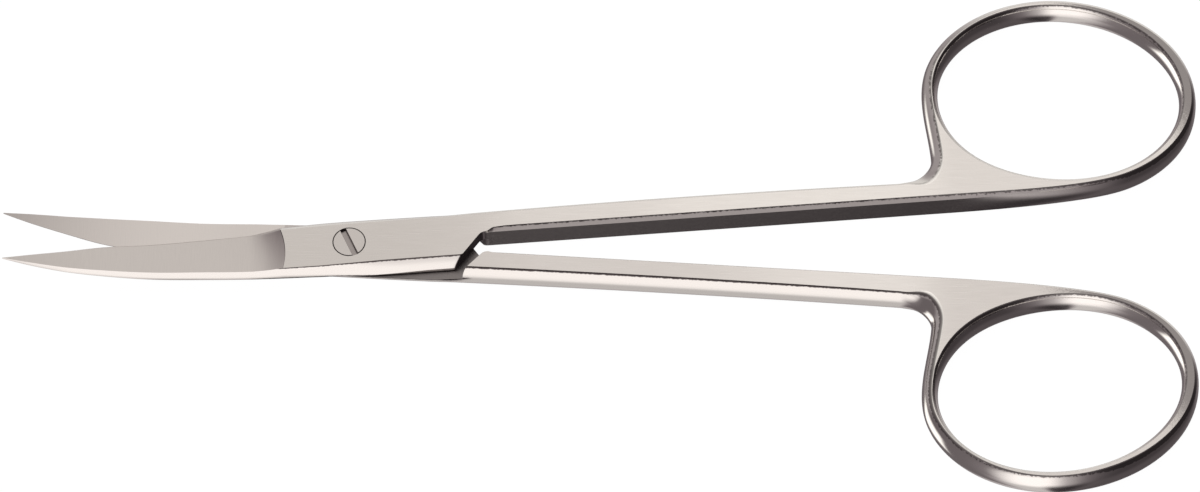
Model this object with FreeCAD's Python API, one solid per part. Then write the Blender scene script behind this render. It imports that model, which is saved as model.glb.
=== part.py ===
import FreeCAD, Part
import math
import os

from FreeCAD import Vector

# Iris scissors with curved blades, lying on their back. The pivot axis is the z axis and the table is z = 0.
# The blades point to -x and the finger rings to +x. Each half is drawn first as it lies in closed scissors,
# with its shank on the +y side of the closing line, and is then swung open by half of the opening angle.

# How far the scissors stand open, and the free play between the two halves
opening_angle = 8.5
joint_gap = 0.04

# Thickness of the forging, which is ground flat on both faces
stock_thickness = 2.9

# Blade: its tip, and where grinding starts, as distances from the pivot
blade_length = 33.4
ground_start = 6.3
# Sections of the ground blade: share of its length, then the distances of cutting edge and spine from the
# closing line, the thickness at the spine and the thickness where the cutting bevel starts. Up to the first
# of them lies the hollow that the grinding wheel leaves.
blade_stations = [
    (0.125, 2.47, 2.46, 1.07, 0.46),
    (0.30, 2.05, 2.17, 1.05, 0.44),
    (0.48, 1.76, 1.93, 0.97, 0.42),
    (0.64, 1.54, 1.56, 0.84, 0.38),
    (0.78, 0.98, 1.15, 0.66, 0.32),
    (0.90, 0.47, 0.66, 0.44, 0.24),
    (1.00, -0.03, 0.13, 0.14, 0.10),
]
spine_round = 0.24
# How far the wheel's hollow has run towards the first section where it is measured
hollow_steps = (0.3, 0.6)
# Spines are ground by hand: what is left on the near one and taken off the far one
near_spine_extra = 0.15
far_spine_extra = -0.22
spine_extra_fade = 6.0
edge_bevel = 0.26
# The blades bend upwards beyond this radius, and end this high at the tip
bend_start = 11.0
tip_rise = 3.0

# Joint plate, half as thick as the stock. Its sections give x, then the distances of the outer side and of
# the spine side from the closing line, each at the mating face and at the outer face
plate_stations = [
    (-2.0, 2.93, 2.00, 2.78, 2.30),
    (3.0, 2.92, 2.04, 3.17, 2.30),
    (8.0, 2.84, 2.06, 3.20, 2.28),
    (13.6, 2.74, 2.04, 3.20, 2.28),
]
plate_start = (2.76, 1.88, 2.60, 2.28)
# The plate ends in a slanted wall, and the full thickness starts at the shoulder, which faces the wall of the
# other half
end_wall_corner = 12.75
end_wall_angle = 50.6
end_wall_round = 0.9
end_corner_round = 0.35
shoulder_corner = 13.4
shoulder_angle = 121.0
shoulder_round = 0.7

# Shank: flat inner wall, rounded outer side
wall_offset = 0.12
wall_round = 0.42
shank_outer = 2.74
shank_round = 0.70
shank_start = 8.0
# The outer side bows out a little on the near shank and in on the far one, from grinding by hand
near_shank_bow = 0.26
far_shank_bow = -0.16

# Finger ring: oval hole in an oval outside, each with its centre, half sizes and turn
hole_centre = (69.35, 11.28)
hole_half_length = 11.72
hole_half_width = 9.42
hole_turn = -14.0
hole_round = 0.42
# Towards the web the hole is fuller than an oval
hole_fullness = 0.3
hole_fullest_at = 230.0
ring_centre = (69.36, 11.32)
ring_half_length = 13.32
ring_half_width = 10.78
ring_turn = -12.6
ring_round = 0.48
# The inner wall runs into the ring by a long blend, and a web with a small fillet joins the ring to the shank
blend_start = 58.0
blend_end = 307.0
web_side = 56.55
web_fillet = 1.5
web_end = 548.0

# Pivot screw: slotted head, plain bearing length and threaded end
head_diameter = 3.06
head_height = 0.72
head_side_gap = 0.05
head_floor_gap = 0.03
bearing_diameter = 2.2
bearing_clearance = 0.03
thread_diameter = 1.8
thread_clearance = 0.01
screw_end_chamfer = 0.15
slot_width = 0.42
slot_depth = 0.34
slot_direction = -66.0

half_stock = stock_thickness / 2
ground_length = blade_length - ground_start
origin = Vector(0, 0, 0)
upwards = Vector(0, 0, 1)
# Far enough to pass through everything that a cutting shape has to clear
beyond = 2 * stock_thickness
# A barrel shaped side stands out by this share of its round at half height
barrel = 0.25
# Levels at which the rounded handle is drawn, from the lower face to the upper one
levels = (-1.0, -0.5, 0.0, 0.5, 1.0)
# The hole is drawn past both faces by this factor
overrun = 1.1
# Points that carry the outline of the hole and the curve of the mating face, and how local the fullness is
hole_points = 16
curve_points = 8
fullness_power = 8


def rise(radius):
    """Height of the mating face above the middle plane at a distance from the pivot axis."""
    return tip_rise * (max(radius - bend_start, 0.0) / (blade_length - bend_start)) ** 2


def between(first, last, share):
    return first + (last - first) * share


def line(start, end):
    return Part.LineSegment(start, end).toShape()


def heading(angle):
    turned = math.radians(angle)
    return Vector(math.cos(turned), math.sin(turned), 0)


def prism(corners, bottom, top):
    """Upright prism on a polygon in plan."""
    placed = [Vector(p.x, p.y, bottom) for p in corners]
    return Part.Face(Part.makePolygon(placed + placed[:1])).extrude(Vector(0, 0, top - bottom))


def rounded_corner(corner, first, second, radius, bottom, top):
    """What is cut off a sharp upright corner between two wall directions to round it."""
    half_angle = first.getAngle(second) / 2
    reach = radius / math.tan(half_angle)
    start = corner + first * reach
    end = corner + second * reach
    middle_way = (first + second).normalize()
    centre = corner + middle_way * (radius / math.sin(half_angle))
    middle = centre - middle_way * radius
    outline = Part.Wire([line(corner, start), Part.Arc(start, middle, end).toShape(), line(end, corner)])
    outline.translate(Vector(0, 0, bottom))
    return Part.Face(outline).extrude(Vector(0, 0, top - bottom))


def mating_side(side):
    """All that lies above (side 1) or below (side -1) the face on which the halves slide."""
    start = Vector(0, 0, half_stock + side * joint_gap / 2)
    bend = Vector(bend_start, 0, start.z)
    reach = blade_length + beyond
    radii = [between(bend_start, reach, step / curve_points) for step in range(curve_points + 1)]
    curve = Part.BSplineCurve()
    curve.interpolate([Vector(r, 0, start.z + rise(r)) for r in radii])
    end = Vector(reach, 0, start.z + rise(reach))
    limit = end.z + beyond if side > 0 else -beyond
    corners = [end, Vector(reach, 0, limit), Vector(0, 0, limit), start]
    edges = [line(start, bend), curve.toShape()]
    edges += [line(a, b) for a, b in zip(corners, corners[1:])]
    return Part.Face(Part.Wire(edges)).revolve(origin, upwards, 360)


def spine_change(side, x):
    """What hand grinding left on the spine at x: it fades out at the tip and where the plate is widest."""
    extra = near_spine_extra if side > 0 else far_spine_extra
    widest = plate_stations[1][0]
    fade = min(blade_length + x, widest - x) / spine_extra_fade
    return extra * max(0.0, min(1.0, fade))


def section(side, x, edge, spine, edge_height, spine_height):
    """Cross-section of blade or plate at x.

    edge and spine are each a pair of distances from the closing line, at the mating face and at the outer
    face.
    """
    base = half_stock + rise(abs(x))
    under = base - side * half_stock
    change = spine_change(side, x)
    points = []
    for low, high, height in ((edge[0], edge[1], edge_height),
                              (-spine[0] - change, -spine[1] - change, spine_height)):
        foot = Vector(x, low, base)
        head = Vector(x, high, base + side * height)
        middle = (foot + head) * 0.5 + Vector(0, barrel * (low - high), 0)
        points.append((Vector(x, low, under), foot, middle, head))
    edge_low, edge_foot, edge_middle, edge_head = points[0]
    spine_low, spine_foot, spine_middle, spine_head = points[1]
    return Part.Wire([
        line(spine_low, edge_low),
        line(edge_low, edge_foot),
        Part.Arc(edge_foot, edge_middle, edge_head).toShape(),
        line(edge_head, spine_head),
        Part.Arc(spine_head, spine_middle, spine_foot).toShape(),
        line(spine_foot, spine_low),
    ])


def first_section(side):
    """The section where the full plate ends and the ground blade starts."""
    outer, outer_top, spine, spine_top = plate_start
    return section(side, -ground_start, (outer, outer_top), (spine, spine_top), half_stock, half_stock)


def plate(side):
    """The plate round the pivot, from the start of the ground blade to the shank."""
    wires = [first_section(side)]
    for x, outer, outer_top, spine, spine_top in plate_stations:
        wires.append(section(side, x, (outer, outer_top), (spine, spine_top), half_stock, half_stock))
    return Part.makeLoft(wires, True, False)


def blade(side):
    """The ground blade, a wedge that is thick at the spine and thin at the cutting edge."""
    outer, outer_top, spine, spine_top = plate_start
    share, last_edge, last_spine, thickness, edge_thickness = blade_stations[0]
    wires = [first_section(side)]
    for step in hollow_steps:
        # the wheel's round: steep at the plate and level at the blade
        drop = 1 - (1 - step) ** 2
        edge = (between(outer, last_edge, step), between(outer_top, last_edge - edge_bevel, drop))
        back = (between(spine, last_spine, step), between(spine_top, last_spine - spine_round, step))
        heights = (between(half_stock, edge_thickness, drop), between(half_stock, thickness, drop))
        wires.append(section(side, -ground_start - step * share * ground_length, edge, back, *heights))
    full_thickness = thickness
    for share, edge, spine, thickness, edge_thickness in blade_stations:
        thinning = thickness / full_thickness
        bevelled = (edge, edge - edge_bevel * thinning)
        back = (spine, spine - spine_round * thinning)
        x = -ground_start - share * ground_length
        wires.append(section(side, x, bevelled, back, edge_thickness, thickness))
    return Part.makeLoft(wires, True, False)


def ring_oval(inset, z):
    """Outside of the finger ring, a turned oval in a level plane."""
    middle = Vector(*ring_centre, z)
    along = heading(ring_turn) * (ring_half_length - inset)
    across = heading(ring_turn + 90) * (ring_half_width - inset)
    return Part.Ellipse(middle + along, middle + across, middle)


def hole_outline(share):
    """Outline of the finger hole at a share of the half thickness above or below the middle plane."""
    middle = Vector(*hole_centre, half_stock + share * half_stock)
    points = []
    for step in range(hole_points):
        angle = 2 * math.pi * step / hole_points
        towards_web = max(0.0, math.cos(angle - math.radians(hole_fullest_at)))
        grown = hole_round * share ** 2 + hole_fullness * towards_web ** fullness_power
        along = heading(hole_turn) * ((hole_half_length + grown) * math.cos(angle))
        across = heading(hole_turn + 90) * ((hole_half_width + grown) * math.sin(angle))
        points.append(middle + along + across)
    outline = Part.BSplineCurve()
    outline.interpolate(Points=points, PeriodicFlag=True)
    return Part.Wire([outline.toShape()])


def handle_outline(side, share):
    """Outline of shank, web and ring at a share of the half thickness above or below the middle plane."""
    z = half_stock + share * half_stock
    inset = shank_round * share ** 2
    bow = near_shank_bow if side > 0 else far_shank_bow
    wall = wall_offset - wall_round + inset
    outer = shank_outer - inset
    ring = ring_oval(ring_round * share ** 2, z)
    blend_angle = math.radians(blend_end)
    web_angle = math.radians(web_end)
    wall_start = Vector(shank_start, wall, z)
    wall_end = Vector(blend_start, wall, z)
    ring_start = ring.value(blend_angle)
    ring_end = ring.value(web_angle)
    blend = Part.BSplineCurve()
    blend.interpolate(Points=[wall_end, ring_start], InitialTangent=Vector(ring_start.x - wall_end.x, 0, 0),
                      FinalTangent=Vector(*ring.tangent(blend_angle)[0]) * (ring_start.x - wall_end.x))
    fillet_centre = Vector(web_side - web_fillet, shank_outer + web_fillet, z)
    radius = web_fillet + inset
    fillet_start = fillet_centre + Vector(radius, 0, 0)
    fillet_end = fillet_centre - Vector(0, radius, 0)
    fillet_middle = fillet_centre + heading(-45) * radius
    shank_end = Vector(shank_start, outer, z)
    shank_middle = (fillet_end + shank_end) * 0.5 + Vector(0, bow, 0)
    return Part.Wire([
        line(wall_start, wall_end),
        blend.toShape(),
        Part.ArcOfEllipse(ring, blend_angle, web_angle).toShape(),
        line(ring_end, fillet_start),
        Part.Arc(fillet_start, fillet_middle, fillet_end).toShape(),
        Part.Arc(fillet_end, shank_middle, shank_end).toShape(),
        line(shank_end, wall_start),
    ])


def handle(side):
    """Shank and finger ring at full thickness, with barrel shaped sides and a flat inner wall."""
    body = Part.makeLoft([handle_outline(side, share) for share in levels], True, False)
    hole = Part.makeLoft([hole_outline(share * overrun) for share in levels], True, False)
    end = ring_centre[0] + ring_half_length
    below_wall = [
        Vector(0, wall_offset, 0),
        Vector(0, -beyond, 0),
        Vector(end, -beyond, 0),
        Vector(end, wall_offset, 0),
    ]
    return body.cut(hole).cut(prism(below_wall, -beyond, beyond))


def lap(side):
    """Blade and plate of one half, ended by the slanted wall that meets the other half's shoulder."""
    corner = Vector(end_wall_corner, wall_offset, 0)
    wall_way = heading(end_wall_angle + 180)
    wall_end = corner + wall_way * beyond
    right = end_wall_corner + beyond
    past_wall = prism([corner, wall_end, Vector(right, wall_end.y, 0), Vector(right, wall_offset, 0)],
                      -beyond, 2 * beyond)
    past_wall = past_wall.cut(rounded_corner(corner, wall_way, Vector(1, 0, 0), end_wall_round,
                                             -beyond, 2 * beyond))
    spine = plate_stations[-1][3]
    outer_corner = corner - wall_way * ((spine + wall_offset) / wall_way.y)
    nose = rounded_corner(outer_corner, wall_way * -1, Vector(-1, 0, 0), end_corner_round,
                          -beyond, 2 * beyond)
    return plate(side).fuse(blade(side)).common(mating_side(side)).cut(past_wall).cut(nose)


def grip(side):
    """Shank and ring of one half, cut away on the other half's side up to the shoulder."""
    corner = Vector(shoulder_corner, wall_offset, 0)
    way = heading(shoulder_angle)
    bottom = -beyond if side > 0 else half_stock - joint_gap / 2
    top = half_stock + joint_gap / 2 if side > 0 else 2 * beyond
    corners = [corner - way * beyond, corner + way * beyond, Vector(0, beyond, 0), Vector(0, -beyond, 0)]
    cleared = prism(corners, bottom, top)
    nose = rounded_corner(corner, way, Vector(1, 0, 0), shoulder_round, bottom, top)
    return handle(side).cut(cleared).cut(nose)


def half(side):
    """One half in the closed position: side 1 has the upper blade, side -1 the lower one."""
    return lap(side).fuse(grip(side))


def cylinder(diameter, bottom, top):
    return Part.makeCylinder(diameter / 2, top - bottom, Vector(0, 0, bottom))


def near_half():
    """Upper half: the screw turns in its bore, with the head sunk flush into the plate."""
    body = half(1)
    seat = stock_thickness - head_height - head_floor_gap
    body = body.cut(cylinder(head_diameter + 2 * head_side_gap, seat, 2 * beyond))
    body = body.cut(cylinder(bearing_diameter + 2 * bearing_clearance, -beyond, beyond))
    return body.rotate(origin, upwards, opening_angle / 2)


def far_half():
    """Lower half, a mirror image in plan, with the threaded hole."""
    body = half(-1).cut(cylinder(thread_diameter + 2 * thread_clearance, -beyond, beyond))
    return body.mirror(origin, Vector(0, 1, 0)).rotate(origin, upwards, -opening_angle / 2)


def pivot_screw():
    """Slotted shoulder screw, flush with both faces of the scissors."""
    bearing_end = half_stock - joint_gap / 2
    head_bottom = stock_thickness - head_height
    thread = cylinder(thread_diameter, 0, bearing_end)
    end_edge = [edge for edge in thread.Edges if edge.CenterOfMass.z < screw_end_chamfer]
    screw = thread.makeChamfer(screw_end_chamfer, end_edge)
    screw = screw.fuse(cylinder(bearing_diameter, bearing_end, head_bottom))
    screw = screw.fuse(cylinder(head_diameter, head_bottom, stock_thickness))
    slot = Part.makeBox(2 * head_diameter, slot_width, 2 * slot_depth,
                        Vector(-head_diameter, -slot_width / 2, stock_thickness - slot_depth))
    slot.rotate(origin, upwards, slot_direction)
    return screw.cut(slot).removeSplitter()


os.makedirs("parts", exist_ok=True)
for name, shape in (("near_half", near_half()), ("far_half", far_half()), ("pivot_screw", pivot_screw())):
    solid = shape.Solids[0]
    print(name, "solids", len(shape.Solids), "valid", solid.isValid(), "volume", round(solid.Volume, 1))
    solid.exportStep("parts/" + name + ".step")
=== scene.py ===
import math

import bmesh
import bpy
from mathutils import Matrix, Vector


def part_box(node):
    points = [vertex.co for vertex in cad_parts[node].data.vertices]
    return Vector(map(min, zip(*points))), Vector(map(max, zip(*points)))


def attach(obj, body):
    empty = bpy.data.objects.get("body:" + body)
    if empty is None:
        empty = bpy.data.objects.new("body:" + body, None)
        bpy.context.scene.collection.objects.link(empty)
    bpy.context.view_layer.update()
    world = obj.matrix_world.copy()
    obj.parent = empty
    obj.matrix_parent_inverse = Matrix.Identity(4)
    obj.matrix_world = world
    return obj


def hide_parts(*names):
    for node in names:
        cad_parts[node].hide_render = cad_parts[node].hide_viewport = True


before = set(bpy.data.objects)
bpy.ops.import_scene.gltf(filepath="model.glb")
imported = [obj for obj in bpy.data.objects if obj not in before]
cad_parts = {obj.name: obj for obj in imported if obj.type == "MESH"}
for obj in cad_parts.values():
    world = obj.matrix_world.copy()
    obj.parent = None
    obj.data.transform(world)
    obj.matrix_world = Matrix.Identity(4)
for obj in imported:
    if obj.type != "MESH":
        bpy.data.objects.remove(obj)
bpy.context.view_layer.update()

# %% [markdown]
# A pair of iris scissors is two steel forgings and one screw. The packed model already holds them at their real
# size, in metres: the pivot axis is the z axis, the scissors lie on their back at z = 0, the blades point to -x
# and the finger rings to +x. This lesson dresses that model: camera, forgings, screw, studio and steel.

mm = 0.001
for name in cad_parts:
    low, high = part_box(name)
    print(name, [round(side / mm, 2) for side in high - low], "mm")

# %% [markdown]
# The photograph was taken with a long lens from high in front of the scissors, turned a little and rolled a
# little. Where the camera stood can be worked back from four facts: its height angle, its turn and roll, its
# distance, and the pixel in which the pivot shows. A long lens far away keeps the two rings the same size.

# %% Camera
image_size = (1200, 492)
pixels_per_mm = 10.38
camera_height = math.radians(58.45)
camera_turn = math.radians(3.23)
camera_roll = math.radians(3.15)
camera_distance = 1580.83 * mm
pivot_pixel = (349.73, 249.6)
pivot = Vector((0, 0, 1.45 * mm))
sensor_width = 36
far_clip = 10

view_back = Vector((math.sin(camera_turn) * math.cos(camera_height),
                    -math.cos(camera_turn) * math.cos(camera_height),
                    math.sin(camera_height)))
view_level = Vector((math.cos(camera_turn), math.sin(camera_turn), 0))
view_right = Matrix.Rotation(-camera_roll, 3, view_back) @ view_level
view_up = view_back.cross(view_right)
offset_right = (pivot_pixel[0] - image_size[0] / 2) / pixels_per_mm * mm
offset_up = (image_size[1] / 2 - pivot_pixel[1]) / pixels_per_mm * mm
eye = pivot + view_back * camera_distance - view_right * offset_right - view_up * offset_up

camera = bpy.data.objects.new("camera", bpy.data.cameras.new("camera"))
bpy.context.scene.collection.objects.link(camera)
bpy.context.scene.camera = camera
camera.data.sensor_width = sensor_width
camera.data.lens = pixels_per_mm * camera_distance / mm / image_size[0] * sensor_width
camera.data.clip_end = far_clip
camera.matrix_world = Matrix.Translation(eye) @ Matrix((view_right, view_up, view_back)).transposed().to_4x4()
print("lens", round(camera.data.lens, 1), "mm, eye at", [round(v, 3) for v in eye])

# %% [markdown]
# Each handle is one forging: a shank that runs into a web and a finger ring. Its faces are ground flat and its
# sides are rounded by hand. An outline could be extruded and bevelled, but one bevel rounds every side alike. Here
# the outline is one open line: along the inner wall, round the ring and back along the outer side. It is lifted
# level by level and drawn in by what the rounding takes away, so flats stay flat and each side gets its own shape.

# %% Where the handle runs in plan
# All plan sizes are in millimetres, as the handle lies in closed scissors with its shank on the +y side
cut = 14.0
wall = 0.12
shank_side = 2.54
shank_ends = (8.0, 53.1)
shank_bow = {"near": 0.26, "far": -0.16}
blend_from = 58.0
blend_to = math.radians(307)
ring_pull = 0.7
web_from = math.radians(532)
fillet_start = Vector((56.55, 5.3))
fillet_end = Vector((53.1, 2.54))
ring_middle = Vector((69.36, 11.32))
ring_size = Vector((13.319, 10.77))
ring_turn = math.radians(-12.6)
hole_middle = Vector((69.35, 11.28))
hole_size = Vector((11.72, 9.42))
hole_turn = math.radians(-14)
print("ring", [round(2 * size, 2) for size in ring_size], "hole", [round(2 * size, 2) for size in hole_size], "mm")

# %% [markdown]
# A hand-made line has no sudden turns. The ring and its hole are turned ovals, the shank's side is a shallow bow,
# and all that lies between them is a soft curve that leaves one line in its own direction and meets the next in
# that one's. These few curves draw every edge of the scissors.

# %% Lines and curves
right_way = Vector((1, 0))
left_way = Vector((-1, 0))
front_way = Vector((0, -1))
behind_way = Vector((0, 1))


def soft(share):
    """Goes from 0 to 1 with a soft start and end."""
    share = max(0.0, min(1.0, share))
    return share * share * (3 - 2 * share)


def sweep(first, last, steps):
    """Even shares from first to last, without the last one."""
    return [first + (last - first) * step / steps for step in range(steps)]


def oval(middle, size, turn, angle, grown=0.0):
    """A point of a turned oval, and the way out from it."""
    point = Vector(((size.x + grown) * math.cos(angle), (size.y + grown) * math.sin(angle)))
    out = Vector((math.cos(angle) / size.x, math.sin(angle) / size.y)).normalized()
    turned = Matrix.Rotation(turn, 2)
    return middle + turned @ point, turned @ out


def bend(start, start_way, end, end_way, share, end_pull=1.0):
    """A point of the soft curve from start to end, and its way on."""
    reach = (end - start).length
    a, b = start_way * reach, end_way * reach * end_pull
    t = share
    point = (start * (2 * t ** 3 - 3 * t ** 2 + 1) + a * (t ** 3 - 2 * t ** 2 + t)
             + end * (3 * t ** 2 - 2 * t ** 3) + b * (t ** 3 - t ** 2))
    way = (start * (6 * t ** 2 - 6 * t) + a * (3 * t ** 2 - 4 * t + 1)
           + end * (6 * t - 6 * t ** 2) + b * (3 * t ** 2 - 2 * t))
    return point, way.normalized()


def outside(way):
    """The way away from the steel when the outline is walked with the steel on the left."""
    return Vector((way.y, -way.x))


def onwards(out):
    """The way on along the outline, from the way away from the steel."""
    return Vector((-out.y, out.x))


def shank_line(half, x):
    """The shank's outer side: a shallow bow between its ends."""
    first, last = shank_ends
    return shank_side + shank_bow[half] * (1 - ((2 * x - first - last) / (last - first)) ** 2)


print("shank half as wide as", [round(shank_line(half, sum(shank_ends) / 2), 2) for half in shank_bow], "mm")

# %% [markdown]
# Nobody files every part of a handle alike. The round outer sides come off a belt as a quarter of an oval, the
# inner walls stay upright and only get a small chamfer. So each point of the outline carries three shares: wall,
# shank and ring. Where the belt took off more, as on the ring's left and in the corner, the share is more than 1.

# %% How full each part of the outline is rounded
wall_worked = {"near": 1.0, "far": 0.35}
ring_fullness = [(-53, 7, 0.85), (20, 80, 1.15), (95, 160, 1.9)]
web_full = 2.4
corner_full = 3.3
corner_blend = 5.0
bend_hurry = 1.4


def fuller(angle):
    """How much wider than usual the ring's outer side is rounded: least at the bottom, most on the left."""
    turned = math.degrees(angle) - 360
    full = 1.0
    for first, last, next_full in ring_fullness:
        full += (next_full - full) * soft((turned - first) / (last - first))
    return full


def corner_fuller(share):
    """The same for the hollow corner from ring to shank: widest in the middle, so the flat ends in a tight corner."""
    if share < 0.5:
        return web_full + (corner_full - web_full) * soft(2 * share)
    return 1 + (corner_full - 1) * (1 - soft(2 * share - 1)) ** 2


print("fullness of the ring at its bottom, right, top and left",
      [round(fuller(math.radians(360 + turned)), 2) for turned in (-53, 7, 90, 160)])

# %% [markdown]
# Now the outline can be walked once, with the steel on the left, in steps that are short where it bends. Each
# point also keeps the way out of the steel, because the rounding moves it straight back along that way.

# %% The handle's outline
wall_steps = 40
bend_steps = 40
ring_steps = 140
web_steps = 24
corner_steps = 20
shank_steps = 40


def handle_line(half):
    """The outline at half height: place, way out, and how much of wall, shank and ring shape each point has."""
    worked = wall_worked[half]
    line = [(Vector((x, wall)), front_way, (worked, 0.0, 0.0)) for x in sweep(cut, blend_from, wall_steps)]
    ring_start, out = oval(ring_middle, ring_size, ring_turn, blend_to)
    for share in sweep(0.0, 1.0, bend_steps):
        point, way = bend(Vector((blend_from, wall)), right_way, ring_start, onwards(out), share, ring_pull)
        ring_part = soft(share * bend_hurry)
        line.append((point, outside(way), (worked * (1 - ring_part), 0.0, ring_part)))
    for angle in sweep(blend_to, web_from, ring_steps):
        point, out = oval(ring_middle, ring_size, ring_turn, angle)
        line.append((point, out, (0.0, 0.0, fuller(angle))))
    ring_end, out = oval(ring_middle, ring_size, ring_turn, web_from)
    for share in sweep(0.0, 1.0, web_steps):
        point, way = bend(ring_end, onwards(out), fillet_start, front_way, share)
        line.append((point, outside(way), (0.0, 0.0, fuller(web_from) * (1 - share) + web_full * share)))
    for share in sweep(0.0, 1.0, corner_steps):
        point, way = bend(fillet_start, front_way, fillet_end, left_way, share)
        line.append((point, outside(way), (0.0, 0.0, corner_fuller(share))))
    for x in sweep(shank_ends[1], cut, shank_steps) + [cut]:
        ring_part = 1 - soft((shank_ends[1] - x) / corner_blend)
        line.append((Vector((x, shank_line(half, x))), behind_way, (0.0, 1 - ring_part, ring_part)))
    return line


print("points along the handle", len(handle_line("near")))

# %% [markdown]
# One function turns the three shares and the level into how far a point is drawn in. The levels lie closer
# together near the flats, where the curve is tightest.

# %% What the rounding takes away at each level
thickness = 2.9
half_stock = thickness / 2
level_count = 22
levels = [math.sin(math.pi * (step / level_count - 0.5)) for step in range(level_count + 1)]
chamfer_from = levels[18]
wall_round = 0.42
shank_round = 0.52
ring_round = 0.50
hole_round = 0.56
edge_from = 0.93
edge_round = 0.10


def quarter(share, first):
    """Grows along a quarter circle from 0 at first to 1 at share 1."""
    part = max(0.0, (abs(share) - first) / (1 - first))
    return 1 - math.sqrt(max(0.0, 1 - part * part))


def taken(share, kinds, softness):
    """How far the rounding draws a point in, at a share of half the thickness from the middle."""
    of_wall, of_shank, of_ring = kinds
    chamfer = max(0.0, (abs(share) - chamfer_from) / (1 - chamfer_from))
    edge = edge_round * quarter(share, edge_from) * softness
    return (of_wall * (wall_round * chamfer + edge)
            + (of_shank * shank_round + of_ring * ring_round) * quarter(share, 0.0))


print("the shank is drawn in by", [round(taken(share, (0, 1, 0), 1), 3) for share in levels[level_count // 2:]])

# %% [markdown]
# The two halves cross in a lap joint: here each forging is only half as thick, a plate with a slanted end wall,
# and it starts at a shoulder that faces the end wall of the other half. The plate goes over into the blade, which
# the grinding wheel has hollowed and bent up. Both are drawn from the same few sections that a smith would
# measure, with soft curves between them, so that the reflections run evenly along the polished back.

# %% Sections of plate and blade
# A plate row is the place along x, then edge, edge at the head, spine and spine at the head as distances from x
plate_rows = [
    (-6.5, 2.76, 1.88, 2.60, 2.28),
    (-2.0, 2.93, 2.00, 2.78, 2.30),
    (3.0, 2.92, 2.04, 3.17, 2.30),
    (8.0, 2.84, 2.06, 3.20, 2.28),
    (14.0, 2.74, 2.04, 3.20, 2.28),
]
# A blade row has the heights of edge and spine too
start_row = plate_rows[0] + (half_stock, half_stock)
hollow_end = (-9.69, 2.24, 1.99, 2.46, 2.22, 0.46, 1.07)
quick_columns = (2, 5, 6)


def hollowing(share):
    """A row between plate and hollow: the edge's head and the heights drop quickly at first, the rest evenly."""
    quick = 1 - (1 - share) ** 2
    return [one + (other - one) * (quick if column in quick_columns else share)
            for column, (one, other) in enumerate(zip(start_row, hollow_end))]


blade_rows = [
    start_row,
    hollowing(0.3),
    hollowing(0.6),
    hollow_end,
    (-14.43, 2.05, 1.79, 2.17, 1.93, 0.44, 1.05),
    (-19.31, 1.76, 1.52, 1.93, 1.71, 0.42, 0.97),
    (-23.64, 1.54, 1.34, 1.56, 1.37, 0.38, 0.84),
    (-27.44, 0.98, 0.82, 1.15, 1.00, 0.32, 0.66),
    (-30.69, 0.47, 0.36, 0.66, 0.56, 0.24, 0.44),
    (-33.40, -0.03, -0.06, 0.13, 0.10, 0.10, 0.14),
]


def follow(rows, x):
    """The row at x on a soft curve through the measured rows, which run in one direction."""
    places = [row[0] for row in rows]
    step = max(i for i in range(len(rows) - 1) if i == 0 or (x - places[i]) * (places[-1] - places[0]) >= 0)
    one, other = rows[step], rows[step + 1]
    before, after = rows[max(step - 1, 0)], rows[min(step + 2, len(rows) - 1)]
    width = other[0] - one[0]
    t = (x - one[0]) / width
    found = []
    for k in range(1, len(one)):
        way_in = (other[k] - before[k]) / (other[0] - before[0]) * width
        way_out = (after[k] - one[k]) / (after[0] - one[0]) * width
        found.append(one[k] * (2 * t ** 3 - 3 * t ** 2 + 1) + way_in * (t ** 3 - 2 * t ** 2 + t)
                     + other[k] * (3 * t ** 2 - 2 * t ** 3) + way_out * (t ** 3 - t ** 2))
    return found


print("the blade halfway", [round(size, 2) for size in follow(blade_rows, -20)])

# %% [markdown]
# Plate and blade share their spine and edge lines. A file has changed them a little on each half, and the plate's
# outer side goes over into the shank's. The bend of the blades depends on the distance from the pivot alone, so
# that the two mating faces stay on each other while the scissors open.

# %% Lines of plate and blade
blade_start = plate_rows[0][0]
blade_length = 33.4
bend_start = 11.0
tip_rise = 3.0
spine_extra = {"near": 0.15, "far": -0.22}
spine_to = 3.0
spine_fade = 6.0
joint_gap = 0.04
middle_share = {"near": joint_gap / thickness, "far": -joint_gap / thickness}
side_blend = (8.0, 12.0)


def rise(radius):
    """How far the blade is bent up at a distance from the pivot."""
    return tip_rise * (max(radius - bend_start, 0.0) / (blade_length - bend_start)) ** 2


def spine_change(half, x):
    """What hand grinding left on the spine."""
    return spine_extra[half] * max(0.0, min(1.0, min(blade_length + x, spine_to - x) / spine_fade))


def spine_side(half, x, share):
    """The back of the plate, which is rounded towards the head."""
    row = follow(plate_rows, x)
    return -(row[2] - (row[2] - row[3]) * share * share) - spine_change(half, x)


def outer_side(half, x, share):
    """The outer side goes over from the plate's round to the shank's."""
    row = follow(plate_rows, x)
    plate = row[0] - (row[0] - row[1]) * share * share
    shank = shank_line(half, x) - shank_round * quarter(share, 0.0)
    part = soft((x - side_blend[0]) / (side_blend[1] - side_blend[0]))
    return plate * (1 - part) + shank * part


print("the tips are bent up by", round(rise(blade_length), 2), "mm")

# %% [markdown]
# In the joint the same idea is used with other lines. The plate's goes from the blade along its back, up the end
# wall and into the shank's inner wall. The straight wall is cut with a mill, and its corners are only rounded as
# far as the cutter rounds them.

# %% Walking round the plate
end_corner = Vector((12.75, wall))
end_way = Vector((math.cos(math.radians(50.6)), math.sin(math.radians(50.6))))
end_reach = 0.425
nose_reach = 0.165
plate_end_guess = 10.4
meeting_rounds = 4
spine_steps = 70
nose_steps = 6
straight_steps = 12
round_steps = 8
foot_steps = 4


def inner_side(half, x, share):
    """The inner wall of the shank where it starts: its rounding grows along the first millimetre."""
    start = end_corner.x + end_reach
    return wall + taken(share, (wall_worked[half], 0.0, 0.0), 0.0) * soft((x - start) / (cut - start))


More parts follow.
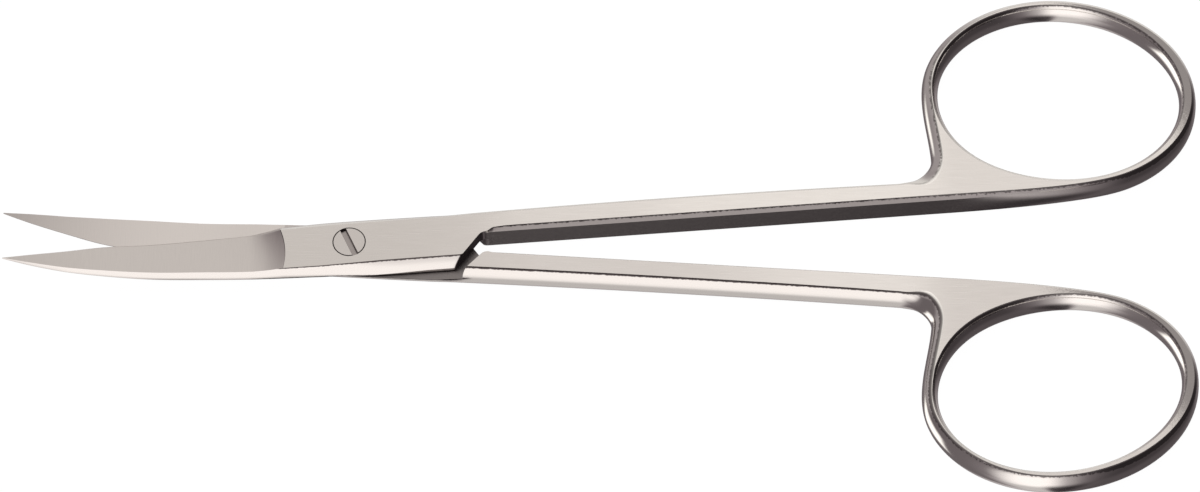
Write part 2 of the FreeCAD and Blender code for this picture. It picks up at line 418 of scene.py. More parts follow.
def plate_inside(half, share):
    """Back of the plate, end wall and the corner where the shank starts, from left to right."""
    x = plate_end_guess
    for _ in range(meeting_rounds):
        x = end_corner.x - end_way.x * (wall - spine_side(half, x, share)) / end_way.y
    corner = Vector((x, spine_side(half, x, share)))
    nose = Vector((x - nose_reach, spine_side(half, x - nose_reach, share)))
    past_nose = corner + end_way * nose_reach
    before_corner = end_corner - end_way * end_reach
    start = Vector((end_corner.x + end_reach, wall))
    line = [Vector((x, spine_side(half, x, share))) for x in sweep(blade_start, nose.x, spine_steps)]
    line += [bend(nose, right_way, past_nose, end_way, s)[0] for s in sweep(0.0, 1.0, nose_steps)]
    line += [past_nose.lerp(before_corner, s) for s in sweep(0.0, 1.0, straight_steps)]
    line += [bend(before_corner, end_way, start, right_way, s)[0] for s in sweep(0.0, 1.0, round_steps)]
    line += [Vector((x, inner_side(half, x, share))) for x in sweep(start.x, cut, foot_steps) + [cut]]
    return line


print("the end wall goes up from x", [round(min(p.x for p in plate_inside(half, 0.0) if p.y > 0), 2)
                                      for half in middle_share], "mm")

# %% [markdown]
# Behind the plate the forging has its full thickness again, and there it starts with the shoulder, which leans the
# other way. The plate's outer side ends on it: at the level where the two meet, their lines have the same points.

# %% Walking round the shoulder
shoulder_corner = Vector((13.1, wall))
shoulder_way = Vector((math.cos(math.radians(129)), math.sin(math.radians(129))))
shoulder_reach = 0.396
shoulder_end_guess = 12.0
heel_steps = 2
seam_steps = 6


def shoulder_end(half, share):
    """Where the shoulder meets the outer side."""
    x = shoulder_end_guess
    for _ in range(meeting_rounds):
        x = shoulder_corner.x + shoulder_way.x * (outer_side(half, x, share) - wall) / shoulder_way.y
    return x


def plate_outside(half, share):
    """Outer side from the shank to the blade."""
    turn = shoulder_end(half, middle_share[half])
    places = sweep(cut, turn, seam_steps) + sweep(turn, blade_start, spine_steps) + [blade_start]
    return [Vector((x, outer_side(half, x, share))) for x in places]


def shoulder(half, share):
    """Inner wall, rounded corner, shoulder and outer side of the full thickness, from inside to outside."""
    start_x = shoulder_corner.x + shoulder_reach
    start = Vector((start_x, inner_side(half, start_x, share)))
    past = shoulder_corner + shoulder_way * shoulder_reach
    end_x = shoulder_end(half, share)
    end = Vector((end_x, outer_side(half, end_x, share)))
    line = [Vector((x, inner_side(half, x, share))) for x in sweep(cut, start.x, heel_steps)]
    line += [bend(start, left_way, past, shoulder_way, s)[0] for s in sweep(0.0, 1.0, round_steps)]
    line += [past.lerp(end, s) for s in sweep(0.0, 1.0, straight_steps)]
    line += [Vector((x, outer_side(half, x, share))) for x in sweep(end.x, cut, seam_steps) + [cut]]
    return line


print("the shoulders end at x", [round(shoulder_end(half, 0.0), 2) for half in middle_share], "mm")

# %% [markdown]
# The blade is different: its sections stand upright, one behind the other, and each is walked round its back,
# ground face, edge and mating face. The wheel that hollows the blade has a round rim, so the ground face starts in
# an arc, which is a bulge that fades along the first millimetres.

# %% Walking round the blade
upwards = {"near": 1, "far": -1}
wheel_bulge = 0.32
bulge_fade = 3.0
ground_steps = 16
mating_steps = 6


def blade_ring(half, x, shares):
    """One section of the ground blade, round its back, ground face, edge and mating face."""
    edge, edge_head, spine, spine_head, edge_height, spine_height = follow(blade_rows, x)
    up = upwards[half]
    change = spine_change(half, x)
    fade = 1 - soft((blade_start - x) / bulge_fade)

    def side(low, high, height):
        gap = joint_gap / 2 / height
        points = []
        for share in shares:
            part = gap + (1 - gap) * (share - shares[0]) / (1 - shares[0])
            y = low - (low - high) * part * part
            lift = rise(math.hypot(x, y)) * (1 - part) + rise(abs(x)) * part
            points.append(Vector((x, y, half_stock + lift + up * height * part)))
        return points

    back = side(-spine - change, -spine_head - change, spine_height)
    front = side(edge, edge_head, edge_height)
    ring = back[:-1]
    for share in sweep(0.0, 1.0, ground_steps):
        point = back[-1].lerp(front[-1], share)
        point.x += wheel_bulge * (1 - (2 * share - 1) ** 2) * fade
        ring.append(point)
    ring += front[:0:-1]
    for share in sweep(0.0, 1.0, mating_steps):
        point = front[0].lerp(back[0], share)
        point.z = half_stock + up * joint_gap / 2 + rise(math.hypot(point.x, point.y))
        ring.append(point)
    return ring + ring[:1]


print("points round a blade", len(blade_ring("near", blade_start, levels[level_count // 2:])))

# %% [markdown]
# Now the rows of points become steel. A grid is created for each surface and laid on its rows like a sheet of metal.
# Every face is told its finish while it is still known which sheet it comes from: the round sides are polished, the
# flats brushed, the blade's face ground, and the walls in the joint stay dull and get painted shade.

# %% Sheets and their finishes
finishes = [bpy.data.materials.new(name)
            for name in ("polished_steel", "brushed_steel", "ground_steel", "dull_shaded_steel")]
polished, brushed, ground, dull_shaded = range(4)
# The end wall and shoulder columns take the dull finish, whose dark tone is painted shade.
end_wall_columns = range(spine_steps + nose_steps - 2, spine_steps + nose_steps + straight_steps + 5)
shoulder_columns = range(1, heel_steps + round_steps + straight_steps)


def sheet(form, rows, finish=lambda column, row: polished):
    """A grid that is laid on rows of points; finish names the finish at a column and row."""
    count = len(rows[0])
    verts = bmesh.ops.create_grid(form, x_segments=count - 1, y_segments=len(rows) - 1, size=1)["verts"]
    verts.sort(key=lambda v: (round(v.co.y, 4), round(v.co.x, 4)))
    spot = {vert: (number % count, number // count) for number, vert in enumerate(verts)}
    for face in {face for vert in verts for face in vert.link_faces}:
        face.material_index = finish(*min(spot[vert] for vert in face.verts))
    for number, vert in enumerate(verts):
        vert.co = rows[number // count][number % count]


def lifted(points, share):
    """Plan points at the height of a level."""
    return [Vector((p.x, p.y, half_stock * (1 + share))) for p in points]


print("finishes", [finish.name for finish in finishes])

# %% [markdown]
# The handle's sheet is its outline at every level, and the finger hole's is an oval that is a little fuller
# towards the web. The bores are turned on a lathe, so each is a few circles one above the other.

# %% Levels of handle, hole and bore
edge_fade = 1.5
hole_points = 180
hole_fullness = 0.3
hole_fullest = math.radians(230)
hole_focus = 8
bore_points = 96
# Each circle of a bore is its radius and its height
bores = {
    "near": ((1.61, 2.9), (1.58, 2.86), (1.58, 2.15), (1.13, 2.15), (1.13, 1.47)),
    "far": ((0.91, 0.0), (0.91, 1.43)),
}


def handle_level(half, line, share):
    """The handle's outline at one level. Its ends are also the ends of the joint's sheets."""
    points = [point - out * taken(share, kinds, soft((point.x - cut) / edge_fade)) for point, out, kinds in line]
    points[0] = Vector((cut, inner_side(half, cut, share)))
    points[-1] = Vector((cut, outer_side(half, cut, share)))
    return points


def hole_level(share):
    """The finger hole's outline at one level."""
    points = []
    for index in range(hole_points + 1):
        angle = 2 * math.pi * (index % hole_points) / hole_points
        full = hole_fullness * max(0.0, math.cos(angle - hole_fullest)) ** hole_focus
        point, out = oval(hole_middle, hole_size, hole_turn, angle, full)
        points.append(point + out * hole_round * quarter(share, 0.0))
    return points


def bore_circle(radius, height):
    """One circle of a bore."""
    turns = [2 * math.pi * (step % bore_points) / bore_points for step in range(bore_points + 1)]
    return [Vector((radius * math.cos(turn), radius * math.sin(turn), height)) for turn in turns]


print("screw bore", bores["near"][-1][0] * 2, "mm, thread", bores["far"][0][0] * 2, "mm wide")

# %% [markdown]
# The sheets of one half meet in the same points, so merging the doubles welds them. The open borders that are left
# are the tip and the three flats, which are filled. Both halves are drawn alike and closed; the far one is the
# mirror image, and each is turned by half the opening of the photograph.

# %% Wrapping one half
weld = 0.002
tip_reach = 1.0
start_line = 0.07
blade_sections = 80
crowding = 1.2
opening = {"near": math.radians(4.25), "far": math.radians(-4.25)}


def drawn_to_open(half):
    """From the closed drawing to the open scissors; the far half is the mirror image."""
    flip = Matrix.Diagonal((1, 1 if half == "near" else -1, 1, 1))
    return Matrix.Rotation(opening[half], 4, "Z") @ flip


def wrap(form, half):
    """Lays all sheets of one half, from the ring to the blade, and welds them where they meet."""
    heights = [middle_share[half] if step == level_count // 2 else share for step, share in enumerate(levels)]
    lower, upper = heights[:level_count // 2 + 1], heights[level_count // 2:]
    of_plate, of_shoulder = (upper, lower) if half == "near" else (lower, upper)
    line = handle_line(half)
    sheet(form, [lifted(handle_level(half, line, share), share) for share in heights])
    sheet(form, [lifted(hole_level(share), share) for share in heights])
    sheet(form, [lifted(plate_inside(half, share), share) for share in of_plate],
          lambda column, row: dull_shaded if column in end_wall_columns else polished)
    sheet(form, [lifted(plate_outside(half, share), share) for share in of_plate])
    sheet(form, [lifted(shoulder(half, share), share) for share in of_shoulder],
          lambda column, row: dull_shaded if column in shoulder_columns else polished)
    shares = sorted(abs(share) for share in of_plate)
    places = [blade_start - (blade_length + blade_start) * (step / blade_sections) ** crowding
              for step in range(blade_sections + 1)]
    places.insert(1, blade_start - start_line)
    back_columns = len(shares) - 1

    def blade_finish(column, row):
        if column < back_columns:
            return polished
        # The strip where the hollow starts is dull, with painted shade.
        return dull_shaded if row == 0 and column < back_columns + ground_steps else ground

    sheet(form, [blade_ring(half, x, shares) for x in places], blade_finish)
    sheet(form, [bore_circle(radius, height) for radius, height in bores[half]], lambda column, row: dull_shaded)
    bmesh.ops.remove_doubles(form, verts=form.verts, dist=weld / 4)


def fill_flats(form, half):
    """Closes the tip, the two ground flats and the mating face."""
    tip = [edge for edge in form.edges
           if edge.is_boundary and max(v.co.x for v in edge.verts) < tip_reach - blade_length]
    bmesh.ops.holes_fill(form, edges=tip, sides=0)
    for height in (0, half_stock * (1 + middle_share[half]), thickness):
        border = [edge for edge in form.edges
                  if edge.is_boundary and all(abs(v.co.z - height) < weld / 4 for v in edge.verts)]
        filled = bmesh.ops.triangle_fill(form, use_beauty=True, edges=border, normal=(0, 0, 1))["geom"]
        for face in filled:
            if isinstance(face, bmesh.types.BMFace):
                face.material_index = brushed if height in (0, thickness) else dull_shaded


print("opening at the pivot", round(math.degrees(opening["near"] - opening["far"]), 2), "degrees")

# %% [markdown]
# Edges stay sharp where a flat ends or where two faces meet at a steep angle, and all else is shaded smoothly.
# The finished drawing is brought from millimetres to metres, becomes an object at the origin, rides on its body
# and takes the place of its packed piece.

# %% The two forgings
crease = math.radians(24)
flat_normal = 0.99999


def keep_crisp(form, level_normal):
    """Smooth shading, with sharp edges at the flats and at steep angles."""
    for edge in form.edges:
        if len(edge.link_faces) == 2:
            one, other = (abs(face.normal.z) > level_normal for face in edge.link_faces)
            edge.smooth = one == other and edge.calc_face_angle() < crease
    for face in form.faces:
        face.smooth = True


def piece_from(form, name, materials, unit=mm):
    """Makes an object of a drawing in the given unit."""
    bmesh.ops.scale(form, verts=form.verts, vec=(unit, unit, unit))
    mesh = bpy.data.meshes.new(name)
    form.to_mesh(mesh)
    form.free()
    for material in materials:
        mesh.materials.append(material)
    piece = bpy.data.objects.new(name, mesh)
    bpy.context.scene.collection.objects.link(piece)
    return piece


def forging(half):
    """One half from tip to ring."""
    form = bmesh.new()
    wrap(form, half)
    fill_flats(form, half)
    bmesh.ops.transform(form, matrix=drawn_to_open(half), verts=form.verts)
    bmesh.ops.recalc_face_normals(form, faces=form.faces)
    keep_crisp(form, flat_normal)
    print(half, "faces", len(form.faces), "open edges", sum(len(edge.link_faces) != 2 for edge in form.edges))
    piece = piece_from(form, half + "_forging", finishes)
    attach(piece, half + "_half")
    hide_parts(half + "_half")


forging("near")
forging("far")

# %% [markdown]
# The screw is turned, and its head lies flush in the plate with a fine gap all round. The packed screw has the
# right size, so a copy of it is merged, its slot is opened to the width that a file leaves, and the sharp rims
# are broken with a small bevel, which is what makes the circle and the slot show as dark lines. These steps
# can leave the faces in another order each time, so they are sorted, and every run gives the same screw.

# %% Pivot screw
screw_steel = bpy.data.materials.new("screw_steel")
slot_way = math.radians(-66)
slot_packed = 0.21
slot_half = 0.28
slot_above = 2.4
slot_search = 0.01
head_radius = 1.53
rim = 0.035
rim_angle = 1.0
merge_angle = math.radians(1)
most_corners = 4
head_normal = 0.9999


def in_order(elements, place):
    """Sorts corners, edges or faces by place."""
    for number, element in enumerate(sorted(elements, key=lambda element: [round(c, 4) for c in place(element)])):
        element.index = number
    elements.sort()


def turned_screw():
    """The packed screw with a wider slot and broken rims."""
    form = bmesh.new()
    form.from_mesh(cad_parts["pivot_screw"].data)
    bmesh.ops.scale(form, verts=form.verts, vec=(1 / mm, 1 / mm, 1 / mm))
    bmesh.ops.remove_doubles(form, verts=form.verts, dist=weld)
    bmesh.ops.dissolve_limit(form, angle_limit=merge_angle, verts=form.verts, edges=form.edges)
    bmesh.ops.rotate(form, verts=form.verts, matrix=Matrix.Rotation(-slot_way, 3, "Z"))
    for vert in form.verts:
        if vert.co.z > slot_above and abs(abs(vert.co.y) - slot_packed) < slot_search:
            vert.co.y = math.copysign(slot_half, vert.co.y)
            vert.co.x = math.copysign(math.sqrt(head_radius ** 2 - slot_half ** 2), vert.co.x)
    rims = [edge for edge in form.edges
            if all(abs(v.co.z - thickness) < weld for v in edge.verts) and edge.calc_face_angle(0) > rim_angle]
    bmesh.ops.bevel(form, geom=rims, offset=rim, segments=2, profile=0.5, affect="EDGES", material=-1)
    bmesh.ops.rotate(form, verts=form.verts, matrix=Matrix.Rotation(slot_way, 3, "Z"))
    bmesh.ops.triangulate(form, faces=[face for face in form.faces if len(face.verts) > most_corners])
    in_order(form.verts, lambda vert: vert.co)
    in_order(form.edges, lambda edge: edge.verts[0].co + edge.verts[1].co)
    in_order(form.faces, lambda face: face.calc_center_median())
    keep_crisp(form, head_normal)
    print("screw rims", len(rims), "faces", len(form.faces))
    piece = piece_from(form, "turned_screw", [screw_steel])
    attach(piece, "far_half")
    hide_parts("pivot_screw")


turned_screw()

# %% [markdown]
# Shader maths reads best as plain sums. One small class wraps a node's output socket, and its operators add the
# Math nodes. Every other node comes from one method, which takes the node's type, its settings and its inputs.

# %% Sums of sockets
class Signal:
    """A shader socket that can be used in sums."""

    def __init__(self, tree, socket=None):
        self.tree = tree
        self.socket = socket

    def node(self, kind, settings, inputs, output=0):
        """Adds a node, sets its settings first and then its sockets, and returns one of its outputs."""
        made = self.tree.nodes.new(kind)
        for name, value in settings.items():
            setattr(made, name, value)
        for name, value in inputs.items():
            if isinstance(value, Signal):
                self.tree.links.new(value.socket, made.inputs[name])
            else:
                made.inputs[name].default_value = value
        return Signal(self.tree, None if output is None else made.outputs[output])

    def maths(self, operation, first, second=0.0, clamped=False):
        return self.node("ShaderNodeMath", {"operation": operation, "use_clamp": clamped}, {0: first, 1: second})

    def __add__(self, other):
        return self.maths("ADD", self, other)

    def __radd__(self, other):
        return self.maths("ADD", other, self)

    def __sub__(self, other):
        return self.maths("SUBTRACT", self, other)

    def __rsub__(self, other):
        return self.maths("SUBTRACT", other, self)

    def __mul__(self, other):
        return self.maths("MULTIPLY", self, other)

    def __rmul__(self, other):
        return self.maths("MULTIPLY", other, self)

    def __truediv__(self, other):
        return self.maths("DIVIDE", self, other)

    def __abs__(self):
        return self.maths("ABSOLUTE", self)

    def step(self, low, high):
        """Rises smoothly from 0 at low to 1 at high."""
        return self.node("ShaderNodeMapRange", {"interpolation_type": "SMOOTHSTEP"},
                         {"Value": self, "From Min": low, "From Max": high, "To Min": 0.0, "To Max": 1.0})

    def band(self, start, full, fade, end):
        """Is 1 from full to fade and falls smoothly to 0 at start and end."""
        return self.step(start, full) * (1 - self.step(fade, end))

    def part(self, index):
        """One part of a vector: 0, 1 or 2."""
        return self.node("ShaderNodeSeparateXYZ", {}, {0: self}, index)

    def blend(self, share, first, second):
        """Mixes two colours."""
        return self.node("ShaderNodeMix", {"data_type": "RGBA"}, {0: share, 6: first, 7: second}, 2)

    def surface(self, shader):
        """Ends the tree in a shader."""
        kind = "World" if shader.socket.node.bl_idname == "ShaderNodeBackground" else "Material"
        self.node("ShaderNodeOutput" + kind, {}, {"Surface": shader}, None)


def new_tree(owner):
    """An empty node tree on a material or a world, wrapped so that it can make nodes."""
    owner.use_nodes = True
    owner.node_tree.nodes.clear()
    return Signal(owner.node_tree)


print("a signal can", [name for name in vars(Signal) if not name.startswith("__")])

# %% [markdown]
# Polished steel has hardly any colour of its own: it shows the room. So the studio is laid out by directions,
# as seen from the scissors. Azimuth 0 is in front of them, -90 is on the left and 180 behind; height is in
# degrees above the table. Around stands a grey room, a little lighter in front and nearly dark on the right, with
# a smaller light low on the left and a broad one behind and above. Parts of it lie below the table, because the
# steel's undersides mirror what is there, and dark steel is slightly red while bright steel is slightly yellow.

# %% Room light
dark_tint = (1.0, 0.84, 0.9, 1)
bright_tint = (1.0, 0.975, 0.945, 1)
tint_gain = 1.4
low_bright, rear_bright, flats_bright, left_back_bright = 1.25, 0.62, 0.58, 0.22
rear_top_dimmed = 0.4
room_grey, right_darker, front_lighter = 0.16, 0.105, 0.11
front_shade, right_glow = 0.215, 0.035
overhead_bright, front_low_bright = 0.16, 0.34
world = bpy.data.worlds.new("studio")
bpy.context.scene.world = world
room = new_tree(world)
way = room.node("ShaderNodeTexCoord", {}, {}, "Generated")
azimuth = room.maths("ARCTAN2", way.part(0), 0 - way.part(1)) * math.degrees(1)
turn = azimuth + azimuth.maths("LESS_THAN", azimuth, 0) * 360
height = room.maths("ARCSINE", way.part(2)) * math.degrees(1)

low_light = azimuth.band(-122, -112, -84, -74) * height.band(-52, -38, -18, 4)
rear_light = turn.band(112, 165, 186, 212) * height.step(-62, -25) * (1 - height.step(30, 52) * rear_top_dimmed)
flats_light = turn.band(128, 160, 196, 240) * height.band(36, 50, 72, 86)
left_back_light = turn.band(195, 215, 240, 262) * height.band(-40, -5, 40, 70)
right_side = azimuth.band(4, 40, 100, 165)
front_side = azimuth.band(-60, -20, 2, 30)
grey = room_grey - right_side * right_darker + front_side * front_lighter
below = 1 - height.step(-58, -38)
under = below * (azimuth.band(-6, 0, 8, 30) * front_shade - right_side * right_glow)
overhead = height.step(56, 66) * overhead_bright
deep = (1 - height.step(-50, -38)) * azimuth.step(-50, -25)
deep = deep.maths("MAXIMUM", deep, 1 - height.step(-80, -68))
front_low = deep * (1 - azimuth.step(-9, -1)) * front_low_bright
glow = (low_light * low_bright + rear_light * rear_bright + flats_light * flats_bright + grey - under + overhead
        + front_low + left_back_light * left_back_bright)
tint = room.blend(glow.maths("MULTIPLY", glow, tint_gain, True), dark_tint, bright_tint)
seen = room.node("ShaderNodeLightPath", {}, {}, "Is Camera Ray")
shine = room.node("ShaderNodeBackground", {}, {"Color": tint, "Strength": glow * (1 - seen) + seen})
room.surface(shine)
print("nodes of the room", len(world.node_tree.nodes))

# %% [markdown]
# The tall light in front is a real panel and not a part of the room, because it stands close by: it shows in
# another place in the blades than in the rings, as a light at arm's length does. Its edges fade, as the edges of a
# diffuser do: softly on the left, more quickly on the right. It shows in the steel only: neither the camera nor
# the floor sees it, and where it doesn't shine it is clear.

# %% Tall front light
panel_distance = 0.4
panel_left, panel_right = -0.3, 0.21
panel_bottom, panel_top = -0.72, 0.86
panel_bright = 0.92
first_fall, second_fall = 0.7, 0.3
upper_dimmed = 0.25
form = bmesh.new()
bmesh.ops.create_grid(form, x_segments=1, y_segments=1, size=0.5)
bmesh.ops.scale(form, verts=form.verts, vec=(panel_right - panel_left, panel_top - panel_bottom, 1))
bmesh.ops.rotate(form, verts=form.verts, matrix=Matrix.Rotation(math.pi / 2, 3, "X"))
bmesh.ops.translate(form, verts=form.verts, vec=((panel_left + panel_right) / 2, -panel_distance,
                                                 (panel_bottom + panel_top) / 2))
light = bpy.data.materials.new("front_light")
panel = piece_from(form, "front_light", [light], unit=1)
panel.visible_camera = False
panel.visible_diffuse = False
panel.visible_shadow = False

tree = new_tree(light)
place = tree.node("ShaderNodeTexCoord", {}, {}, "Object")
sideways, upright = place.part(0), place.part(2)
tilt = tree.maths("ARCTANGENT", upright / panel_distance) * math.degrees(1)
width = sideways.step(-0.27, -0.055) * (1 - sideways.step(0.04, 0.125) * first_fall
                                        - sideways.step(0.08, 0.2) * second_fall)
length = tilt.step(-60, -36) * (1 - tilt.step(14, 40) * upper_dimmed) * (1 - tilt.step(54, 65))
shine = tree.node("ShaderNodeEmission", {}, {"Color": bright_tint, "Strength": width * length * panel_bright})
clear = tree.node("ShaderNodeBsdfTransparent", {}, {})
tree.surface(tree.node("ShaderNodeAddShader", {}, {0: shine, 1: clear}))
print("front light", round(panel_right - panel_left, 2), "by", round(panel_top - panel_bottom, 2), "m")

# %% [markdown]
# The scissors were photographed on white paper, lit so evenly that it has no shadow. A plain sheet that glows
# a little gives the same, and the steel doesn't mirror it, because the photographed steel mirrors a dark room.
# The standard view shows the paper as white as it is, without a film's soft shoulder.

# %% Floor
floor_size = 3.0
floor_drop = 0.03 * mm
paper_grey = (0.1, 0.1, 0.1, 1)
paper_glow = 0.98
bpy.ops.mesh.primitive_plane_add(size=floor_size, location=(0, 0, -floor_drop))
floor = bpy.context.object
floor.name = "floor"
floor.visible_glossy = False
floor.visible_shadow = False
paper = bpy.data.materials.new("paper")
floor.data.materials.append(paper)
tree = new_tree(paper)
tree.surface(tree.node("ShaderNodeBsdfPrincipled", {}, {
    "Base Color": paper_grey, "Roughness": 0.9, "Emission Color": (1, 1, 1, 1), "Emission Strength": paper_glow}))
bpy.context.scene.view_settings.view_transform = "Standard"
print("floor", floor_size, "m wide")

# %% [markdown]
# Four finishes come out of one workshop. The round sides are polished on a felt wheel, the flats are brushed along
# the handle, the blades are ground across and look duller, and the walls inside the joint are left as they were cut.
# All are stainless steel: one warm grey metal, with noise for the grain, drawn out along the strokes, that changes
# the tone, the roughness and, through a bump of a thousandth of a millimetre or so, the gloss. Some tones also carry
# painted light and shade: dark seams and a gap line on the sides, a gradient and a dark patch on the flats, the dark
# joint walls and mating faces, and the slot.

# %% What the finishes share
stroke_depth = 0.0012


def grain(tree, sizes, detail=3.0):
    """Fine noise whose marks are this long along x, y and z, in millimetres."""
    place = tree.node("ShaderNodeTexCoord", {}, {}, "Object")
    stretched = tree.node("ShaderNodeMapping", {}, {"Vector": place, "Scale": [1 / (size * mm) for size in sizes]})
    return tree.node("ShaderNodeTexNoise", {}, {"Vector": stretched, "Scale": 1.0, "Detail": detail})


def place_mm(tree, index):
    """Where a point lies along x, y or z, in millimetres."""
    return tree.node("ShaderNodeTexCoord", {}, {}, "Object").part(index) / mm


def steel(tree, colour, marks, least, more, height, depth):
    """Steel with at least this roughness, and more where the marks are light; depth is in millimetres."""
    bump = tree.node("ShaderNodeBump", {}, {"Strength": 1.0, "Distance": depth * mm, "Height": height})
    tree.surface(tree.node("ShaderNodeBsdfPrincipled", {}, {
        "Base Color": colour, "Roughness": marks * more + least, "Metallic": 1.0, "Normal": bump}))


print("strokes", stroke_depth, "mm deep")

# %% [markdown]
# The polished sides are bright, with a trace of waviness. Where the polish meets the flat, a dark, slightly ragged
# seam of painted shade stands for the dark that the turning side mirrors: thin along the shanks, wider where the
# rings' sides face right, and fainter on the rings. It is drawn by the level: a little below the flats, where the
# side has begun to turn away. A second dark line is painted shadow in the gap between the two plates.

# %% Polished sides
steel_tone = (0.80, 0.772, 0.742, 1)
ring_tone = (0.88, 0.85, 0.82, 1)
painted_shade_tone = (0.10, 0.085, 0.085, 1)
ragged_size, wave_size = 0.25, 1.2
ragged_shank, ragged_ring = 0.14, 0.2
seam_shade_start, seam_shade_full = 1.32, 1.37
inside_lower = 0.07
shade_wider_right, shade_narrower_else = 0.32, 0.03
ring_seam_shade_fainter = 0.3
wave_share, wave_depth = 0.6, 0.002

tree = new_tree(finishes[polished])
normal = tree.node("ShaderNodeNewGeometry", {}, {}, "Normal")
facing = abs(normal.part(2))
along, across = place_mm(tree, 0), place_mm(tree, 1)
ragged = grain(tree, (ragged_size,) * 3)
waves = grain(tree, (wave_size,) * 3, 2.0)
on_ring = along.step(54, 62)
past_blade = along.step(-10, -7)
level = abs(place_mm(tree, 2) - half_stock) + (ragged - 0.5) * (on_ring * ragged_ring + ragged_shank)
inside = across.step(0, 0.5) * (1 - on_ring)
# On the rings the painted shade reaches lower where the side faces right, and stays higher elsewhere.
ring_shade_widening = on_ring * (normal.part(0).step(0.05, 0.45) * shade_wider_right - shade_narrower_else)
# Painted shade: a dark, ragged band just below the flats' border, on sides that don't face back.
seam_shade = (level + ring_shade_widening - inside * inside_lower).step(seam_shade_start, seam_shade_full)
seam_shade = seam_shade * facing.band(0.05, 0.2, 0.985, 0.998) * (1 - normal.part(1).step(0.0, 0.3)) * past_blade
# Painted shadow: a dark line at the middle level, in the gap between the two plates.
gap = (1 - level.step(0.1, 0.2)) * past_blade * (1 - along.step(11, 12))
dark = seam_shade.maths("MAXIMUM", seam_shade * (1 - along.step(50, 60) * ring_seam_shade_fainter), gap)
bright = tree.blend(on_ring, steel_tone, ring_tone)
steel(tree, tree.blend(dark, bright, painted_shade_tone), ragged, least=0.09, more=0.06,
      height=waves * wave_share + ragged * (1 - wave_share), depth=wave_depth)
print("nodes of the polish", len(finishes[polished].node_tree.nodes))

# %% [markdown]
# The flats are brushed along the handle. Their tone is painted light: darker at the joint and brightest on the shanks
# before the rings, as the light falls along the handle. The near half is lighter than the far one. At the rings'
# outer right a dark patch is painted shade, the dark that a flat rolled off to the right would mirror.

# %% Brushed flats
flat_tone, joint_shade_tone = (0.68, 0.645, 0.62, 1), (0.575, 0.545, 0.52, 1)
web_lit_tone, near_tone = (0.815, 0.78, 0.75, 1), (0.86, 0.825, 0.79, 1)
right_shade_tone, stroke_tone = (0.18, 0.163, 0.163, 1), (0.48, 0.44, 0.42, 1)
speck_size, speck_change = 0.12, 0.3
near_least, near_more = 0.43, 0.42
joint_shade_most, right_shade_most, stroke_most = 0.85, 0.9, 0.3
right_shade_way, right_shade_ragged = (0.8, 0.6), 5
stroke_share = 0.7
ring_open = Matrix.Rotation(opening["near"], 2) @ ring_middle

tree = new_tree(finishes[brushed])
along, across = place_mm(tree, 0), place_mm(tree, 1)
strokes = grain(tree, (2.5, 0.05, 0.5))
specks = grain(tree, (speck_size,) * 3)
# Painted light: the tone grows lighter from the joint towards the shanks before the rings, as the light falls along
# the handle.
before_ring = 1 - along.step(53, 59)
tone = tree.blend(along.step(30, 48) * before_ring, flat_tone, web_lit_tone)
on_near = across.step(-0.3, 0.3) * along.step(11, 16) * (along.step(25, 33) * before_ring * near_more + near_least)
tone = tree.blend(on_near, tone, near_tone)
# Painted shade at the joint, broken by random specks.
joint_shade = (1 - along.step(2, 22)) * joint_shade_most + specks * speck_change - speck_change / 2
tone = tree.blend(joint_shade.maths("MINIMUM", joint_shade, 1.0), tone, joint_shade_tone)
# Painted shade: a dark, ragged patch on the rings' outer right, where the flats themselves are not rolled off.
from_middle = across - across.maths("SIGN", across) * ring_open.y
aside = (along - ring_open.x) * right_shade_way[0] + from_middle * right_shade_way[1] + (specks - 0.5) * right_shade_ragged
tone = tree.blend(aside.step(4.5, 9.0) * right_shade_most, tone, right_shade_tone)
steel(tree, tree.blend(strokes * stroke_most, tone, stroke_tone), strokes, least=0.24, more=0.1,
      height=strokes * stroke_share + specks * (1 - stroke_share), depth=stroke_depth)
print("nodes of the brushing", len(finishes[brushed].node_tree.nodes))

# %% [markdown]
# The hollow faces of the blades are ground across, so their marks are long along y. The walls in the joint are never
# polished and have fine pits. Their dark tone is painted shade of the narrow joint. The mating faces get painted
# light that grows from the pivot towards the blades, where the other plate shades them less.

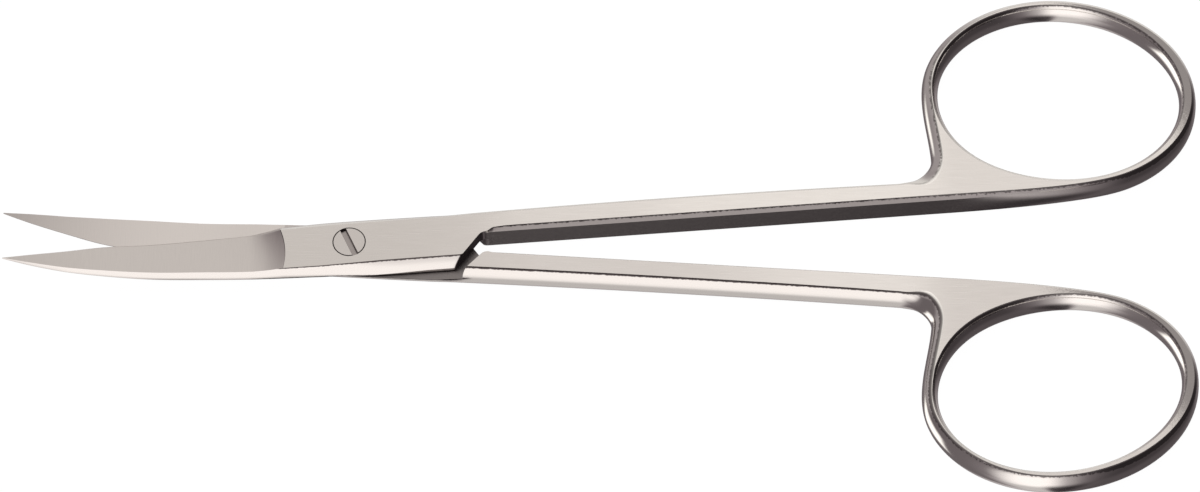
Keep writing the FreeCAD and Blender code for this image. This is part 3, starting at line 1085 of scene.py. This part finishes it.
# %% Ground blades, and dull walls with painted shade
ground_dark, ground_light = (0.62, 0.58, 0.555, 1), (0.72, 0.675, 0.645, 1)
shaded_pit_dark, shaded_pit_light = (0.10, 0.088, 0.09, 1), (0.22, 0.20, 0.20, 1)
mating_lit_tone = (0.55, 0.51, 0.49, 1)
pit_size, pit_depth = 0.15, 0.003
pivot_shaded_share = 0.8

tree = new_tree(finishes[ground])
strokes = grain(tree, (0.06, 2.0, 0.5))
steel(tree, tree.blend(strokes, ground_dark, ground_light), strokes, least=0.3, more=0.1,
      height=strokes, depth=stroke_depth)

tree = new_tree(finishes[dull_shaded])
# Painted shade: the dark tone of the joint's walls, mating faces, bores and the hollow's first strip.
pits = grain(tree, (pit_size,) * 3)
mating = abs(tree.node("ShaderNodeNewGeometry", {}, {}, "Normal").part(2)).step(0.9, 0.98)
# Painted light on the mating faces: lighter towards the blades, darker at the pivot where the other plate shades
# them.
mating_lit = mating * (1 - place_mm(tree, 0).step(-5, 3) * pivot_shaded_share)
tone = tree.blend(mating_lit, tree.blend(pits, shaded_pit_dark, shaded_pit_light), mating_lit_tone)
steel(tree, tone, pits, least=0.3, more=0.15, height=pits, depth=pit_depth)
print("nodes of the grinding", len(finishes[ground].node_tree.nodes))

# %% [markdown]
# The screw's head was ground flush together with the plate, so its strokes run the same way. The floor of the slot is
# darker: partly the rough steel that the file leaves and the grinding doesn't reach, partly painted shade of the
# narrow slot.

# %% Steel of the screw
head_dark, head_light = (0.52, 0.49, 0.47, 1), (0.60, 0.565, 0.54, 1)
slot_dirt_and_shade_tone = (0.33, 0.30, 0.29, 1)

tree = new_tree(screw_steel)
strokes = grain(tree, (0.8, 0.06, 0.5))
# Painted shade and rough steel: the floor of the slot is darker.
in_slot = 1 - place_mm(tree, 2).step(2.78, 2.89)
tone = tree.blend(in_slot, tree.blend(strokes, head_dark, head_light), slot_dirt_and_shade_tone)
steel(tree, tone, strokes, least=0.26, more=0.1, height=strokes, depth=stroke_depth)
print("nodes of the screw", len(screw_steel.node_tree.nodes))

# %% [markdown]
